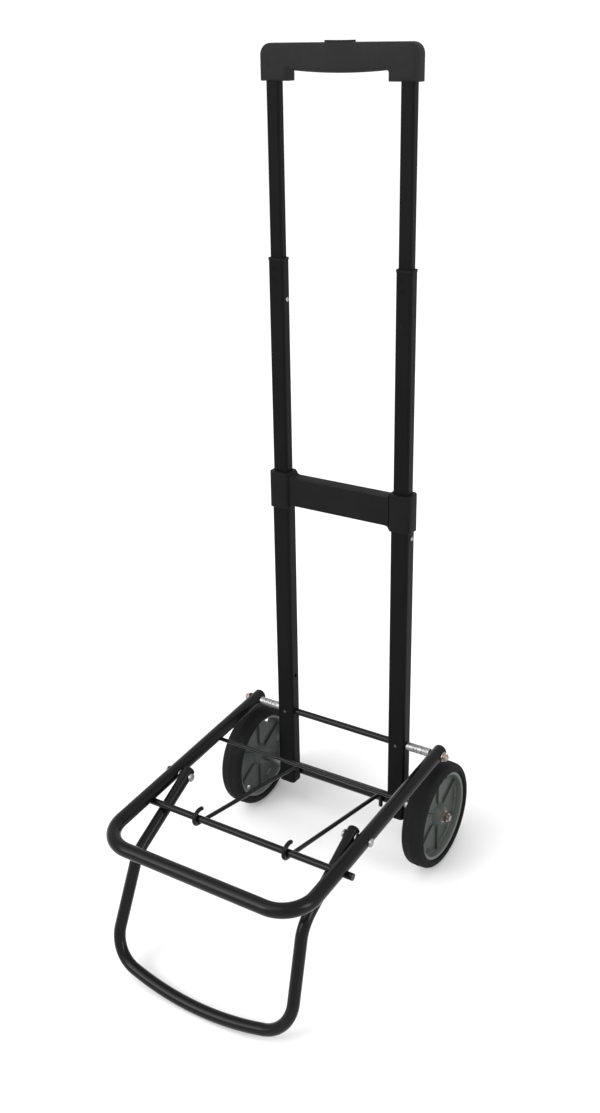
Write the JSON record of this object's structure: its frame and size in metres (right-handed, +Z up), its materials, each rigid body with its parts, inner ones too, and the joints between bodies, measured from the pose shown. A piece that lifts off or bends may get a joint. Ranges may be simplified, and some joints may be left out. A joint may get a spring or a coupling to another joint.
{
  "type": "hand truck",
  "caption": "Folding two-wheeled hand truck with a telescopic push-button handle, a hinged tube platform with elastic-cord hooks and a folding front leg.",
  "frame": {"origin": "on the floor under the middle of the object's box", "axes": "+Z up, -Y to the front where the platform reaches, +X to the object's left seen from the front (right seen from behind the handle); the uprights lean back 10 degrees"},
  "size_m": [0.3476, 0.575, 1.0633],
  "materials": {
    "black_enamel": "satin black enamel",
    "gloss_black_paint": "gloss black paint",
    "black_plastic": "fine-textured moulded plastic",
    "plated_steel": "bright zinc plate",
    "zinc_yellow": "yellow zinc plate",
    "spring_steel": "plain spring steel",
    "nylon": "natural nylon",
    "hub_plastic": "grey-green moulded plastic",
    "tyre_rubber": "matte black rubber"
  },
  "bodies": {
    "lower_frame": {"left_lower_upright": "black_enamel", "right_lower_upright": "black_enamel", "left_upright_plug": "black_plastic", "right_upright_plug": "black_plastic", "cross_tube": "gloss_black_paint", "wheel_axle": "plated_steel", "axle_spacers": "plated_steel", "axle_washers": "zinc_yellow", "axle_nuts": "zinc_yellow", "pivot_rod": "plated_steel", "pivot_sleeve": "gloss_black_paint", "left_pivot_spacer": "plated_steel", "right_pivot_spacer": "plated_steel", "pivot_washers": "plated_steel", "pivot_cap_nuts": "plated_steel", "upright_rivets": "plated_steel", "stage_bracket": "black_plastic", "bracket_screws": "plated_steel"},
    "middle_stage": {"left_middle_tube": "black_enamel", "right_middle_tube": "black_enamel", "middle_guide_shoes": "nylon", "middle_top_collars": "black_plastic", "lower_spring_clips": "spring_steel"},
    "upper_stage": {"left_upper_tube": "black_enamel", "right_upper_tube": "black_enamel", "upper_guide_shoes": "nylon", "upper_spring_clips": "spring_steel", "handle_front_shell": "black_plastic", "handle_back_shell": "black_plastic", "handle_screws": "plated_steel", "release_spring": "spring_steel"},
    "release": {"release_button": "black_plastic", "release_yoke": "spring_steel", "release_rods": "spring_steel"},
    "upper_pin_left": {"left_upper_pin": "plated_steel"},
    "upper_pin_right": {"right_upper_pin": "plated_steel"},
    "lower_pin_left": {"left_lower_pin": "plated_steel"},
    "lower_pin_right": {"right_lower_pin": "plated_steel"},
    "wheel_left": {"left_hub": "hub_plastic", "left_tyre": "tyre_rubber"},
    "wheel_right": {"right_hub": "hub_plastic", "right_tyre": "tyre_rubber"},
    "platform": {"platform_frame": "gloss_black_paint", "arm_end_caps": "black_plastic", "rear_cross_rod": "gloss_black_paint", "front_cross_rod": "gloss_black_paint", "left_hook_wire": "gloss_black_paint", "right_hook_wire": "gloss_black_paint", "arm_washers": "plated_steel", "leg_rivets": "plated_steel"},
    "leg": {"leg_frame": "gloss_black_paint", "leg_end_caps": "black_plastic", "leg_washers": "plated_steel"}
  },
  "joints": [
    {"name": "middle_stage_slide", "type": "slide", "parent": "lower_frame", "child": "middle_stage", "axis": [0, 0.1736, 0.9848], "range_m": [-0.225, 0]},
    {"name": "upper_stage_slide", "type": "slide", "parent": "middle_stage", "child": "upper_stage", "axis": [0, 0.1736, 0.9848], "range_m": [-0.205, 0]},
    {"name": "release_press", "type": "slide", "parent": "upper_stage", "child": "release", "axis": [0, -0.1736, -0.9848], "range_m": [0, 0.003], "stiffness_N_per_m": 900, "springref_m": -0.004, "deforming": ["release_spring"]},
    {"name": "left_upper_pin_press", "type": "slide", "parent": "middle_stage", "child": "upper_pin_left", "axis": [-1, 0, 0], "range_m": [0, 0.0012]},
    {"name": "right_upper_pin_press", "type": "slide", "parent": "middle_stage", "child": "upper_pin_right", "axis": [1, 0, 0], "range_m": [0, 0.0012]},
    {"name": "left_lower_pin_press", "type": "slide", "parent": "lower_frame", "child": "lower_pin_left", "axis": [1, 0, 0], "range_m": [0, 0.0012], "stiffness_N_per_m": 120, "springref_m": -0.003},
    {"name": "right_lower_pin_press", "type": "slide", "parent": "lower_frame", "child": "lower_pin_right", "axis": [-1, 0, 0], "range_m": [0, 0.0012], "stiffness_N_per_m": 120, "springref_m": -0.003},
    {"name": "left_wheel_spin", "type": "hinge", "parent": "lower_frame", "child": "wheel_left", "pos_m": [-0.1506, 0.10333, 0.076], "axis": [1, 0, 0], "continuous": true},
    {"name": "right_wheel_spin", "type": "hinge", "parent": "lower_frame", "child": "wheel_right", "pos_m": [0.1506, 0.10333, 0.076], "axis": [1, 0, 0], "continuous": true},
    {"name": "platform_fold", "type": "hinge", "parent": "lower_frame", "child": "platform", "pos_m": [0, 0.11981, 0.16946], "axis": [-1, 0, 0], "range_deg": [0, 91.5]},
    {"name": "leg_fold", "type": "hinge", "parent": "platform", "child": "leg", "pos_m": [0, -0.07805, 0.18538], "axis": [1, 0, 0], "range_deg": [0, 87]}
  ],
  "couplings": [
    {"joint": "left_upper_pin_press", "follows": "release_press", "ratio": 0.4},
    {"joint": "right_upper_pin_press", "follows": "release_press", "ratio": 0.4}
  ]
}
